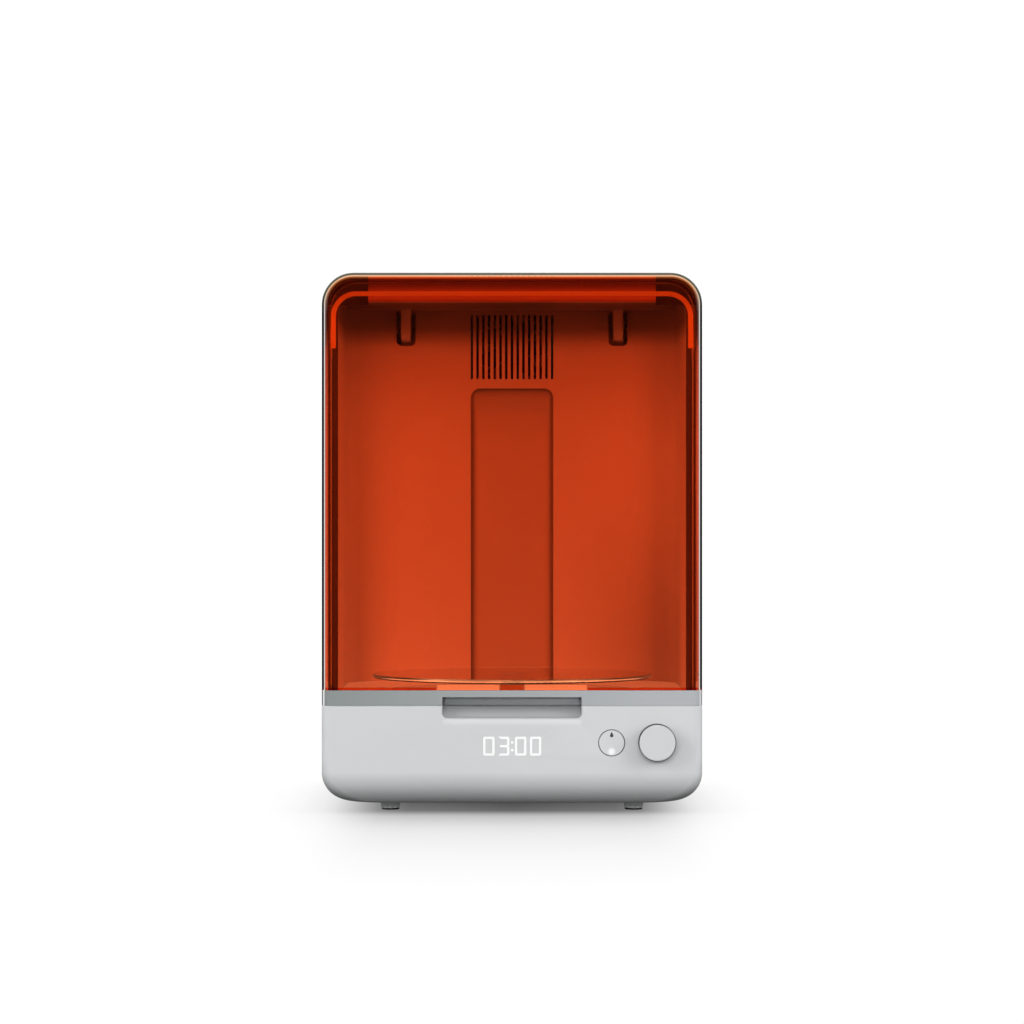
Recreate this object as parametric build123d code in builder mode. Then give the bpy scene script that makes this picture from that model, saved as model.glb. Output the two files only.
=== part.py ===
from build123d import *
import math
import os

# Dental lab light curing unit: a countertop box with a light grey base, a
# grey rear housing and a clear amber cover that swings up on two curved arms.
# Millimetres, +Z up, +X to the right of someone facing the front, front = -Y.
# Origin: middle of the footprint, on the surface the feet stand on.

os.makedirs("parts", exist_ok=True)

# ---------------------------------------------------------------- dimensions
W = 270.0            # overall width
HALF = W / 2
DEPTH = 290.0        # front face to rear face
KNOB_OUT = 11.5      # knob stands this far out of the front face
INLET_OUT = 2.0      # inlet flange stands this far out of the rear face
H = 385.2            # top of the closed cover
YF = -(KNOB_OUT + DEPTH + INLET_OUT) / 2 + KNOB_OUT   # y of the front face

BASE_BOT = 7.6       # underside of the base above the table
BASE_TOP = 78.0      # rim the cover closes on
BASE_R = 23.0        # big radius round the bottom of the base
EDGE_R = 6.0         # vertical edge radius of base and cover
WALL = 3.0

STRIP_BOT = 78.1     # grey handle strip of the cover
STRIP_TOP = 88.9
LID_R = 22.5         # radius of the cover's two top edges
CHEEK_D = 75.0       # depth of the cover's side cheeks
SKIRT_Z = 335.0      # lower edge of the cover's upper skirt
PIV_D = 268.0        # hinge axis: distance behind the front face
PIV_Z = 372.0        # hinge axis height
R_LID = 27.2         # cover's rear edge runs on this radius about the axis
R_HOUS = 26.0        # housing's edge runs on this radius

SLOT_W = 98.6        # finger slot
SLOT_LO = 69.2
SLOT_HI = 84.1
SCOOP_D, SCOOP_R = 12.0, 8.8   # scooped tray of the finger slot

LINER_IN = 126.8     # chamber half width
LINER_OUT = 129.8
LINER_BACK = 235.0   # inner face of the chamber's back wall
LINER_TOP = 380.0
FLOOR_TOP = 84.3
CORNER_R = 38.0      # big concave corners of the chamber, inside radius

TT_D = 120.0         # turntable centre behind the front face
TT_R = 103.8
TT_TOP = 95.5
TT_T = 3.0

ARM_X = 82.2         # arm and arm slot centres
ARM_W = 7.2
ARM_SLOT_W = 14.8
ARM_SLOT_Z = 344.1

BTN_X, BTN_Z, BTN_R = 70.6, 51.8, 9.2
KNOB_X, KNOB_Z, KNOB_R = 102.6, 52.3, 12.8
GRIP_R = 13.25       # thin grip ring round the knob

GEAR_Z, PINION_Z, MODULE = 48, 12, 1.0


def y_at(d):
    """y of a plane a distance d behind the front face"""
    return YF + d


def face_plane(d):
    """plane facing the front, a distance d behind the front face; local y is up"""
    return Plane(origin=(0, y_at(d), 0), x_dir=(1, 0, 0), z_dir=(0, -1, 0))


def side_plane(x):
    """plane facing +X; local x is the depth behind the front face, local y is up"""
    return Plane(origin=(x, YF, 0), x_dir=(0, 1, 0), z_dir=(1, 0, 0))


def top_plane(z):
    """level plane; local y is the depth behind the front face"""
    return Plane(origin=(0, YF, z), x_dir=(1, 0, 0), z_dir=(0, 0, 1))


names = []


def save(builder, label):
    builder.part.label = label
    export_step(builder.part, "parts/" + label + ".step")
    names.append(label)


def box_between(x0, x1, d0, d1, z0, z1, mode=Mode.ADD):
    """box from x0 to x1, d0 to d1 behind the front face, z0 to z1"""
    with Locations(Location(((x0 + x1) / 2, y_at((d0 + d1) / 2), (z0 + z1) / 2))):
        Box(abs(x1 - x0), abs(d1 - d0), abs(z1 - z0), mode=mode)


def cyl_y(x, z, r, d0, d1, mode=Mode.ADD):
    """cylinder along Y from d0 to d1 behind the front face"""
    with Locations(Location((x, y_at((d0 + d1) / 2), z), (90, 0, 0))):
        Cylinder(r, abs(d1 - d0), mode=mode)


def cyl_z(x, d, r, z0, z1, mode=Mode.ADD):
    with Locations(Location((x, y_at(d), (z0 + z1) / 2))):
        Cylinder(r, abs(z1 - z0), mode=mode)


def cyl_x(d, z, r, x0, x1, mode=Mode.ADD):
    with Locations(Location(((x0 + x1) / 2, y_at(d), z), (0, 90, 0))):
        Cylinder(r, abs(x1 - x0), mode=mode)


def gear_points(m, teeth, phase=0.0, thin=0.10):
    """spur gear outline, flanks from the involute, slightly thin teeth"""
    rp = m * teeth / 2
    rb = rp * math.cos(math.radians(20))
    ra = rp + 0.92 * m
    rf = rp - 1.22 * m
    inv = lambda a: math.tan(a) - a
    half_p = (math.pi / 2 - thin) / teeth + inv(math.radians(20))
    pts = []
    for i in range(teeth):
        c = 2 * math.pi * i / teeth + phase
        flank = []
        for r in (max(rf, 0), max(rb, rf + 0.25 * m), rp, ra):
            a = math.acos(min(1.0, rb / r)) if r > rb else 0.0
            flank.append((r, half_p - inv(a)))
        for r, h in flank:
            pts.append((r * math.cos(c - h), r * math.sin(c - h)))
        for r, h in reversed(flank):
            pts.append((r * math.cos(c + h), r * math.sin(c + h)))
    return pts


def fall_in(h, radius=BASE_R):
    """how far the base wall leans in at height h above its underside"""
    return radius - math.sqrt(max(0.0, radius ** 2 - (radius - h) ** 2))


# ------------------------------------------------------------------ the base
# timer digits: plain strokes let into the front wall
DIG_W, DIG_H, DIG_S = 8.1, 13.5, 1.65
DIG_Z = 49.45
DIG_X = (-16.4, -5.9, 6.1, 16.7)

with BuildSketch(face_plane(0)) as digit_outline:
    for cx in (DIG_X[0], DIG_X[2], DIG_X[3]):
        with BuildSketch(mode=Mode.PRIVATE) as zero:
            RectangleRounded(DIG_W, DIG_H, 1.3)
            RectangleRounded(DIG_W - 2 * DIG_S, DIG_H - 2 * DIG_S, 0.35, mode=Mode.SUBTRACT)
        with Locations((cx, DIG_Z)):
            add(zero.sketch)
    hw, hh, s = DIG_W / 2, DIG_H / 2, DIG_S
    with BuildSketch(mode=Mode.PRIVATE) as three:
        with BuildLine():
            Polyline((-hw + 0.2, hh), (hw - 1.0, hh), (hw, hh - 1.0), (hw, 0.9), (hw - 0.8, 0),
                     (hw, -0.9), (hw, -hh + 1.0), (hw - 1.0, -hh), (-hw + 0.2, -hh),
                     (-hw + 1.8, -hh + s), (hw - s, -hh + s), (hw - s, -s / 2), (-hw + 1.7, -s / 2),
                     (-hw + 1.2, 0), (-hw + 1.7, s / 2), (hw - s, s / 2), (hw - s, hh - s),
                     (-hw + 1.8, hh - s), close=True)
        make_face()
    with Locations((DIG_X[1], DIG_Z)):
        add(three.sketch)
    with Locations((0.15, 52.1), (0.15, 46.6)):
        Circle(0.98)

with BuildPart() as base_shell:
    heights = (0, 0.55, 2.2, 5.2, 9.5, 15.0, BASE_R)
    for h in heights:
        a = fall_in(h)
        with BuildSketch(Plane(origin=(0, y_at(DEPTH / 2), BASE_BOT + h))):
            RectangleRounded(W - 2 * a, DEPTH - 2 * a, EDGE_R + 0.85 * a)
    loft()
    with BuildSketch(Plane(origin=(0, y_at(DEPTH / 2), BASE_BOT + BASE_R))):
        RectangleRounded(W, DEPTH, EDGE_R)
    extrude(amount=BASE_TOP - BASE_BOT - BASE_R)
    top_edges = base_shell.faces().sort_by(Axis.Z)[-1].edges()
    chamfer(top_edges, 0.6)
    # hollow
    for h in heights:
        a = fall_in(h)
        with BuildSketch(Plane(origin=(0, y_at(DEPTH / 2), BASE_BOT + WALL + h))) as inner:
            RectangleRounded(W - 2 * a - 2 * WALL, DEPTH - 2 * a - 2 * WALL, EDGE_R - 2.5 + 0.85 * a)
    loft(mode=Mode.SUBTRACT)
    with BuildSketch(Plane(origin=(0, y_at(DEPTH / 2), BASE_BOT + WALL + BASE_R))):
        RectangleRounded(W - 2 * WALL, DEPTH - 2 * WALL, EDGE_R - 2.5)
    extrude(amount=BASE_TOP - WALL - (BASE_BOT + WALL + BASE_R), mode=Mode.SUBTRACT)
    # underside opening with a seat for the bottom plate
    with BuildSketch(Plane(origin=(0, y_at(146), BASE_BOT - 0.5))):
        RectangleRounded(210, 232, 10)
    extrude(amount=2.5, mode=Mode.SUBTRACT)
    with BuildSketch(Plane(origin=(0, y_at(146), BASE_BOT))):
        RectangleRounded(200, 222, 8)
    extrude(amount=6, mode=Mode.SUBTRACT)
    # screw bosses for the bottom plate
    for sx in (-98, 98):
        for d in (62, 230):
            cyl_z(sx, d, 5, BASE_BOT + 2, 26)
            cyl_z(sx, d, 1.25, BASE_BOT + 1, 23, mode=Mode.SUBTRACT)
    # finger slot: a scooped tray let into the front wall, open at the top
    w2 = SLOT_W / 2
    box_between(-w2 - 3, w2 + 3, 1.0, SCOOP_D + 3, SLOT_LO - 3, BASE_TOP - 1.5)
    with BuildSketch(side_plane(-w2)):
        with BuildLine():
            Polyline((SCOOP_D, BASE_TOP + 2), (-1, BASE_TOP + 2), (-1, SLOT_LO), (SCOOP_D - SCOOP_R, SLOT_LO))
            RadiusArc((SCOOP_D - SCOOP_R, SLOT_LO), (SCOOP_D, SLOT_LO + SCOOP_R), -SCOOP_R)
            Line((SCOOP_D, SLOT_LO + SCOOP_R), (SCOOP_D, BASE_TOP + 2))
        make_face()
    extrude(amount=SLOT_W, mode=Mode.SUBTRACT)
    # round the tray's two lower corners and its front lip
    for sx in (-1, 1):
        with BuildSketch(face_plane(0)):
            with BuildLine():
                Polyline((sx * w2, SLOT_LO + 3.5), (sx * w2, SLOT_LO), (sx * (w2 - 3.5), SLOT_LO))
                RadiusArc((sx * (w2 - 3.5), SLOT_LO), (sx * w2, SLOT_LO + 3.5), -3.5 * sx)
            make_face()
        extrude(amount=-(SCOOP_D + 1))
    lip = [e for e in base_shell.edges()
           if abs(e.center().Y - y_at(0)) < 0.05 and abs(e.center().Z - SLOT_LO) < 0.1 and abs(e.center().X) < 5]
    fillet(lip, 1.5)
    # spindle bearing seat, cable passage to the rear housing
    cyl_z(0, TT_D, 7, BASE_TOP - 5, BASE_TOP + 1, mode=Mode.SUBTRACT)
    box_between(-40, 40, 250, 275, BASE_TOP - 5, BASE_TOP + 1, mode=Mode.SUBTRACT)
    # control openings in the front wall
    cyl_y(BTN_X, BTN_Z, BTN_R + 0.4, -1, 4, mode=Mode.SUBTRACT)
    cyl_y(KNOB_X, KNOB_Z, 3.5, -1, 4, mode=Mode.SUBTRACT)
    # rear openings: inlet and rocker
    box_between(-64, -36, 280, 295, 36.5, 57.5, mode=Mode.SUBTRACT)
    box_between(-98, -84, 280, 295, 36.5, 57.5, mode=Mode.SUBTRACT)
    # the digits sit flush in the front wall
    add(extrude(digit_outline.sketch, amount=-0.6, dir=(0, -1, 0), mode=Mode.PRIVATE), mode=Mode.SUBTRACT)
save(base_shell, "base_shell")

with BuildPart() as display_digits:
    with BuildSketch(face_plane(0)):
        add(digit_outline.sketch)
    extrude(amount=-0.6)
save(display_digits, "display_digits")

with BuildPart() as base_bottom_plate:
    with BuildSketch(Plane(origin=(0, y_at(146), BASE_BOT))):
        RectangleRounded(209.4, 231.4, 9.7)
        with GridLocations(0, 9, 1, 9):
            SlotOverall(80, 3, mode=Mode.SUBTRACT)
    extrude(amount=1.9)
    with Locations(Plane(origin=(0, y_at(146), BASE_BOT), z_dir=(0, 0, -1))):
        with Locations((-98, 84), (98, 84), (-98, -84), (98, -84)):
            CounterSinkHole(radius=1.7, counter_sink_radius=3.0)
save(base_bottom_plate, "base_bottom_plate")

with BuildPart() as bottom_plate_screws:
    for sx in (-98, 98):
        for d in (62, 230):
            with BuildSketch(Plane(origin=(sx, y_at(d), 0), x_dir=(1, 0, 0), z_dir=(0, -1, 0))):
                with BuildLine():
                    Polyline((0, BASE_BOT + 0.1), (2.8, BASE_BOT + 0.1), (1.2, BASE_BOT + 1.7),
                             (1.2, 21), (0, 22), close=True)
                make_face()
            revolve(axis=Axis((sx, y_at(d), 0), (0, 0, 1)))
            cyl_z(sx, d, 1.0, BASE_BOT, BASE_BOT + 0.9, mode=Mode.SUBTRACT)
save(bottom_plate_screws, "bottom_plate_screws")

FEET = [(-88, 57), (88, 57), (-88, 252), (88, 252)]
with BuildPart() as feet:
    for fx, fd in FEET:
        with BuildSketch(Plane(origin=(fx, y_at(fd), 1.2))):
            Circle(6.6)
        with BuildSketch(Plane(origin=(fx, y_at(fd), BASE_BOT))):
            Circle(7.5)
        loft()
save(feet, "feet")

with BuildPart() as foot_soles:
    for fx, fd in FEET:
        cyl_z(fx, fd, 6.4, 0, 1.2)
    fillet(foot_soles.faces().filter_by(Axis.Z).group_by(Axis.Z)[0].edges(), 0.5)
save(foot_soles, "foot_soles")

# ------------------------------------------------- controls behind the front
with BuildPart() as start_button:
    cyl_y(BTN_X, BTN_Z, BTN_R, -0.15, 3.4)
    fillet(start_button.faces().sort_by(Axis.Y)[0].edges(), 0.5)
    cyl_y(BTN_X, BTN_Z, BTN_R + 1.6, 3.4, 4.6)
    cyl_y(BTN_X, BTN_Z, 3, 4.6, 9.0)
    with BuildSketch(face_plane(-0.15)) as drop:
        with Locations((BTN_X, 56.9)):
            Circle(1.25)
        with BuildLine():
            Polyline((BTN_X - 1.13, 57.45), (BTN_X, 59.8), (BTN_X + 1.13, 57.45), close=True)
        make_face()
    extrude(amount=-0.35, mode=Mode.SUBTRACT)
    cyl_y(BTN_X, 45.6, 1.3, -1, 2.0, mode=Mode.SUBTRACT)
save(start_button, "start_button")

with BuildPart() as button_icon:
    with BuildSketch(face_plane(-0.15)):
        add(drop.sketch)
    extrude(amount=-0.35)
save(button_icon, "button_icon")

with BuildPart() as button_light:
    cyl_y(BTN_X, 45.6, 1.3, -0.15, 2.0)
save(button_light, "button_light")

with BuildPart() as tact_switch:
    box_between(BTN_X - 3.1, BTN_X + 3.1, 11.2, 14, BTN_Z - 3.1, BTN_Z + 3.1)
    cyl_y(BTN_X, BTN_Z, 1.7, 10.5, 11.2)
save(tact_switch, "tact_switch")

with BuildPart() as dial_knob:
    cyl_y(KNOB_X, KNOB_Z, KNOB_R, -KNOB_OUT, -0.8)
    fillet(dial_knob.faces().sort_by(Axis.Y)[0].edges(), 0.9)
    cyl_y(KNOB_X, KNOB_Z, KNOB_R - 2.2, -8.6, 0, mode=Mode.SUBTRACT)
    cyl_y(KNOB_X, KNOB_Z, 5.0, -8.8, -1.6)
    cyl_y(KNOB_X, KNOB_Z, 3.0, -7.5, 0, mode=Mode.SUBTRACT)
save(dial_knob, "dial_knob")

with BuildPart() as knob_grip:
    with BuildSketch(face_plane(-10.5)):
        with Locations((KNOB_X, KNOB_Z)):
            Circle(GRIP_R)
            Circle(KNOB_R, mode=Mode.SUBTRACT)
    extrude(amount=-9.4)
save(knob_grip, "knob_grip")

with BuildPart() as encoder_shaft:
    cyl_y(KNOB_X, KNOB_Z, 3.0, -7.5, 11.0)
    chamfer(encoder_shaft.faces().sort_by(Axis.Y)[0].edges(), 0.4)
save(encoder_shaft, "encoder_shaft")

with BuildPart() as encoder_body:
    box_between(KNOB_X - 7, KNOB_X + 7, 6.2, 14, KNOB_Z - 7, KNOB_Z + 7)
    cyl_y(KNOB_X, KNOB_Z, 4.6, 3.3, 6.2)
    cyl_y(KNOB_X, KNOB_Z, 3.06, 3, 11.6, mode=Mode.SUBTRACT)
save(encoder_body, "encoder_body")

with BuildPart() as display_module:
    box_between(-24.5, 24.5, 3.3, 13.9, 39.5, 59.5)
save(display_module, "display_module")

with BuildPart() as control_board:
    box_between(-52, 121, 14, 15.6, 33, 64)
    box_between(-46, -34, 15.6, 19, 38, 50)
    box_between(20, 34, 15.6, 18, 42, 56)
    box_between(60, 76, 15.6, 22, 36, 42)
    with Locations(Location((0, y_at(14.8), 0), (90, 0, 0))):
        with Locations((-48.5, 36.5, 0), (117.5, 36.5, 0), (-48.5, 60.5, 0), (117.5, 60.5, 0)):
            Cylinder(1.6, 3, mode=Mode.SUBTRACT)
save(control_board, "control_board")

with BuildPart() as interlock_sensor:
    box_between(-6, 6, SCOOP_D + 3.05, SCOOP_D + 7, 67.5, 73.5)
save(interlock_sensor, "interlock_sensor")

# ------------------------------------------------------ power and turntable
with BuildPart() as power_inlet:
    box_between(-74, -26, DEPTH + 0.02, DEPTH + INLET_OUT, 33, 61)
    fillet(power_inlet.edges().filter_by(Axis.Y), 3)
    box_between(-63.8, -36.2, 272, DEPTH + 0.5, 36.7, 57.3)
    box_between(-62, -38, 276, DEPTH + 3, 39, 55, mode=Mode.SUBTRACT)
    for px, pz in ((-57, 45), (-43, 45), (-50, 49)):
        box_between(px - 1, px + 1, 275, 286, pz - 2, pz + 2)
        box_between(px - 1.5, px + 1.5, 266, 273, pz - 0.4, pz + 0.4)
save(power_inlet, "power_inlet")

ROCK_X, ROCK_D, ROCK_Z = -91.0, 288.6, 47.0
with BuildPart() as rocker_bezel:
    box_between(ROCK_X - 8.8, ROCK_X + 8.8, DEPTH + 0.02, DEPTH + 1.6, ROCK_Z - 12.5, ROCK_Z + 12.5)
    fillet(rocker_bezel.edges().filter_by(Axis.Y), 2)
    box_between(ROCK_X - 6.8, ROCK_X + 6.8, 274, DEPTH + 0.5, ROCK_Z - 10.3, ROCK_Z + 10.3)
    box_between(ROCK_X - 5.6, ROCK_X + 5.6, 279, DEPTH + 3, ROCK_Z - 9.4, ROCK_Z + 9.4, mode=Mode.SUBTRACT)
    cyl_x(ROCK_D, ROCK_Z, 1.08, ROCK_X - 6.3, ROCK_X + 6.3, mode=Mode.SUBTRACT)
save(rocker_bezel, "rocker_bezel")

with BuildPart() as rocker_switch:
    ang = math.radians(-7)
    prof = [(-4.5, -5.5), (1.4, -8.4), (0.9, 0), (1.4, 8.4), (-4.5, 5.5)]
    turned = [(ROCK_D + a * math.cos(ang) - b * math.sin(ang),
               ROCK_Z + a * math.sin(ang) + b * math.cos(ang)) for a, b in prof]
    with BuildSketch(side_plane(ROCK_X)):
        with BuildLine():
            Polyline(*turned, close=True)
        make_face()
    extrude(amount=5.2, both=True)
    cyl_x(ROCK_D, ROCK_Z, 1.0, ROCK_X - 6.1, ROCK_X + 6.1)
save(rocker_switch, "rocker_switch")

with BuildPart() as power_supply:
    box_between(-91, -9, 178, 256, 15.5, 52)
    fillet(power_supply.edges().filter_by(Axis.Z), 2)
    with BuildSketch(Plane(origin=(-50, y_at(217), 52))):
        with GridLocations(8, 0, 8, 1):
            SlotOverall(50, 3, rotation=90)
    extrude(amount=-1.2, mode=Mode.SUBTRACT)
    for px in (-84, -16):
        for pd in (186, 248):
            cyl_z(px, pd, 3, BASE_BOT + 1.9, 15.5)
save(power_supply, "power_supply")

with BuildPart() as spindle_bearing:
    cyl_z(0, TT_D, 6.98, 71, 78)
    cyl_z(0, TT_D, 9.5, 78, 79.6)
    cyl_z(0, TT_D, 4.05, 70, 81, mode=Mode.SUBTRACT)
save(spindle_bearing, "spindle_bearing")

with BuildPart() as drive_spindle:
    cyl_z(0, TT_D, 4.0, 59, 86.2)
    chamfer(drive_spindle.edges().filter_by(GeomType.CIRCLE), 0.4)
save(drive_spindle, "drive_spindle")

with BuildPart() as turntable_hub:
    cyl_z(0, TT_D, 7.0, 80.6, 86.2)
    cyl_z(0, TT_D, 4.0, 80, 86.2, mode=Mode.SUBTRACT)
    cyl_z(0, TT_D, 14.0, 86.2, TT_TOP - TT_T)
    cyl_z(0, TT_D, 5.0, TT_TOP - TT_T, TT_TOP - 0.05)
save(turntable_hub, "turntable_hub")

with BuildPart() as turntable_disc:
    cyl_z(0, TT_D, TT_R, TT_TOP - TT_T, TT_TOP)
    fillet(turntable_disc.edges().filter_by(GeomType.CIRCLE), 1.2)
    cyl_z(0, TT_D, 5.0, TT_TOP - 5, TT_TOP + 1, mode=Mode.SUBTRACT)
save(turntable_disc, "turntable_disc")

with BuildPart() as drive_gear:
    with BuildSketch(Plane(origin=(0, y_at(TT_D), 60.5))):
        with BuildLine():
            Polyline(*gear_points(MODULE, GEAR_Z), close=True)
        make_face()
        with PolarLocations(14.5, 6):
            Circle(4, mode=Mode.SUBTRACT)
        Circle(4.0, mode=Mode.SUBTRACT)
    extrude(amount=6)
    with BuildSketch(Plane(origin=(0, y_at(TT_D), 66.5))):
        Circle(8)
        Circle(4.0, mode=Mode.SUBTRACT)
    extrude(amount=3.5)
save(drive_gear, "drive_gear")

CENTRES = MODULE * (GEAR_Z + PINION_Z) / 2
PIN_D = TT_D + CENTRES        # the motor sits behind the spindle
with BuildPart() as motor_pinion:
    # a tooth space faces the gear's tooth at rest
    ph = -math.pi / 2 + math.pi / PINION_Z
    with BuildSketch(Plane(origin=(0, y_at(PIN_D), 59.5))):
        with BuildLine():
            Polyline(*gear_points(MODULE, PINION_Z, phase=ph), close=True)
        make_face()
        Circle(1.6, mode=Mode.SUBTRACT)
    extrude(amount=8)
    cyl_z(0, PIN_D, 1.6, 52, 67.5)
save(motor_pinion, "motor_pinion")

with BuildPart() as turntable_motor:
    cyl_z(0, PIN_D, 14, 34, 53)
    cyl_z(0, PIN_D, 4.5, 53, 54.4)
    cyl_z(0, PIN_D, 1.65, 51.6, 56, mode=Mode.SUBTRACT)
    with BuildSketch(Plane(origin=(0, y_at(PIN_D), 52))):
        SlotOverall(42, 7)
        with Locations((-17.5, 0), (17.5, 0)):
            Circle(1.7, mode=Mode.SUBTRACT)
        Circle(6, mode=Mode.SUBTRACT)
    extrude(amount=1)
save(turntable_motor, "turntable_motor")

with BuildPart() as motor_bracket:
    with BuildSketch(Plane(origin=(0, y_at(PIN_D), 53))):
        RectangleRounded(76, 24, 5)
        Circle(4.6, mode=Mode.SUBTRACT)
        with Locations((-17.5, 0), (17.5, 0)):
            Circle(1.5, mode=Mode.SUBTRACT)
    extrude(amount=2)
    for px in (-32, 32):
        cyl_z(px, PIN_D, 4, 55, BASE_TOP - 3)
save(motor_bracket, "motor_bracket")

# ---------------------------------------------------------- chamber interior
with BuildPart() as chamber_floor:
    with BuildSketch(top_plane(BASE_TOP)) as floor_outline:
        with Locations((0, (6 + LINER_BACK - 0.4) / 2)):
            RectangleRounded(2 * (LINER_IN - 0.4), LINER_BACK - 0.4 - 6, 9)
    extrude(amount=FLOOR_TOP - BASE_TOP)
    # rear corners follow the chamber wall
    rear_edges = chamber_floor.edges().filter_by(Axis.Z).group_by(Axis.Y)[-1]
    with BuildSketch(top_plane(BASE_TOP - 1)) as corner_cut:
        with Locations((0, LINER_BACK / 2)):
            Rectangle(300, 300)
        with Locations((0, (LINER_BACK - 0.4) / 2 - 30)):
            RectangleRounded(2 * (LINER_IN - 0.4), LINER_BACK - 0.4 + 60, CORNER_R - 0.4, mode=Mode.SUBTRACT)
    extrude(amount=14, mode=Mode.SUBTRACT)
    fillet(chamber_floor.faces().sort_by(Axis.Z)[-1].edges(), 1.0)
    # hollow underneath
    with BuildSketch(top_plane(BASE_TOP - 1)):
        with Locations((0, 120)):
            RectangleRounded(244, 218, 30)
    extrude(amount=FLOOR_TOP - BASE_TOP - 1.6, mode=Mode.SUBTRACT)
    # notch for the handle block of the cover
    box_between(-54.4, 54.4, 0, 13.2, BASE_TOP - 1, FLOOR_TOP + 1, mode=Mode.SUBTRACT)
    # round window under the turntable, with a seat for the diffuser
    cyl_z(0, TT_D, 86, BASE_TOP, FLOOR_TOP + 1, mode=Mode.SUBTRACT)
    cyl_z(0, TT_D, 90, FLOOR_TOP - 1.2, FLOOR_TOP + 1, mode=Mode.SUBTRACT)
save(chamber_floor, "chamber_floor")

with BuildPart() as floor_diffuser:
    cyl_z(0, TT_D, 89.8, FLOOR_TOP - 1.2, FLOOR_TOP - 0.2)
    cyl_z(0, TT_D, 85.8, FLOOR_TOP - 2.6, FLOOR_TOP - 1.2)
    cyl_z(0, TT_D, 18, FLOOR_TOP - 4, FLOOR_TOP + 1, mode=Mode.SUBTRACT)
save(floor_diffuser, "floor_diffuser")

with BuildPart() as floor_led_board:
    cyl_z(0, TT_D, 84, 78.1, 79.7)
    for k, (rr, n) in enumerate(((38, 8), (68, 14))):
        for i in range(n):
            a = 2 * math.pi * i / n
            with Locations(Location((rr * math.cos(a), y_at(TT_D) + rr * math.sin(a), 80.3), (0, 0, math.degrees(a)))):
                Box(5, 5, 1.2)
    cyl_z(0, TT_D, 12, 77, 81, mode=Mode.SUBTRACT)
save(floor_led_board, "floor_led_board")

with BuildPart() as chamber_liner:
    with BuildSketch(top_plane(BASE_TOP + 0.1)):
        with Locations((0, (LINER_BACK + WALL) / 2 - 20)):
            RectangleRounded(2 * LINER_OUT, LINER_BACK + WALL + 40, CORNER_R + WALL)
        with Locations((0, LINER_BACK / 2 - 20)):
            RectangleRounded(2 * LINER_IN, LINER_BACK + 40, CORNER_R, mode=Mode.SUBTRACT)
        with Locations((0, 0.8 + CHEEK_D - 100)):
            Rectangle(400, 200, mode=Mode.SUBTRACT)
    extrude(amount=LINER_TOP - BASE_TOP - 0.1)
    # front rim turned outwards
    for sx in (-1, 1):
        box_between(sx * LINER_IN, sx * 131.0, CHEEK_D + 0.8, CHEEK_D + 3.8, BASE_TOP + 0.1, LINER_TOP)
    # top flange that bridges back under the housing roof
    box_between(-LINER_OUT, LINER_OUT, LINER_BACK, 250, LINER_TOP - 2.5, LINER_TOP)
    # round the two top corners to nest under the cover
    with BuildSketch(face_plane(50)):
        with Locations((0, LINER_TOP / 2 + 100)):
            Rectangle(400, LINER_TOP + 100)
        with Locations((0, LINER_TOP - 225)):
            RectangleRounded(262.0, 450, LID_R - 4, mode=Mode.SUBTRACT)
    extrude(amount=-220, mode=Mode.SUBTRACT)
    # fifteen narrow vent slots
    with BuildSketch(face_plane(230)):
        with Locations((0, 343.3)):
            with GridLocations(4.45, 0, 15, 1):
                Rectangle(1.9, 49.7)
    extrude(amount=-12, mode=Mode.SUBTRACT)
    # window for the rear light panel
    with BuildSketch(face_plane(230)):
        with Locations((0, (311.4 + 50) / 2)):
            RectangleRounded(64.2, 311.4 - 50, 7.5)
    extrude(amount=-12, mode=Mode.SUBTRACT)
    # arm slots, open at the top
    with BuildSketch(face_plane(215)):
        for sx in (-1, 1):
            with Locations((sx * ARM_X, (ARM_SLOT_Z + 440) / 2)):
                RectangleRounded(ARM_SLOT_W, 440 - ARM_SLOT_Z, 4.2)
    extrude(amount=-40, mode=Mode.SUBTRACT)
save(chamber_liner, "chamber_liner")

# frame of the light well behind the back wall's window
WELL_D = 248.0
with BuildPart() as light_well:
    with BuildSketch(face_plane(LINER_BACK + WALL + 0.02)):
        with Locations((0, (313.0 + 48) / 2)):
            RectangleRounded(67.4, 313.0 - 48, 9.1)
        with Locations((0, (311.4 + 50) / 2)):
            RectangleRounded(64.2, 311.4 - 50, 7.5, mode=Mode.SUBTRACT)
        with Locations((0, BASE_TOP + 0.2 - 50)):
            Rectangle(120, 100, mode=Mode.SUBTRACT)
    extrude(amount=-(WELL_D - LINER_BACK - WALL - 0.02))
save(light_well, "light_well")

# dark seal along the chamber's front rim, under the cover's cheeks
with BuildPart() as chamber_seal:
    for sx in (-1, 1):
        box_between(sx * 127.0, sx * 131.0, CHEEK_D - 1.4, CHEEK_D + 0.8, BASE_TOP + 0.4, LINER_TOP - 14.5)
    fillet(chamber_seal.edges().filter_by(Axis.Z).group_by(Axis.Y)[0], 0.7)
save(chamber_seal, "chamber_seal")

with BuildPart() as rear_light_panel:
    box_between(-37, 37, WELL_D + 0.05, WELL_D + 3, BASE_TOP + 0.2, 312.9)
save(rear_light_panel, "rear_light_panel")

with BuildPart() as rear_led_board:
    box_between(-33, 33, 254.4, 256, 90, 306)
    with BuildSketch(face_plane(253.2)):
        with Locations((0, 198)):
            with GridLocations(30, 26, 2, 8):
                Rectangle(6, 6)
    extrude(amount=-1.2)
save(rear_led_board, "rear_led_board")

with BuildPart() as rear_heat_sink:
    box_between(-32, 32, 256, 259.5, 92, 304)
    with BuildSketch(face_plane(259.5)):
        with Locations((0, 198)):
            with GridLocations(6, 0, 10, 1):
                Rectangle(1.6, 208)
    extrude(amount=-13)
save(rear_heat_sink, "rear_heat_sink")

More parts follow.
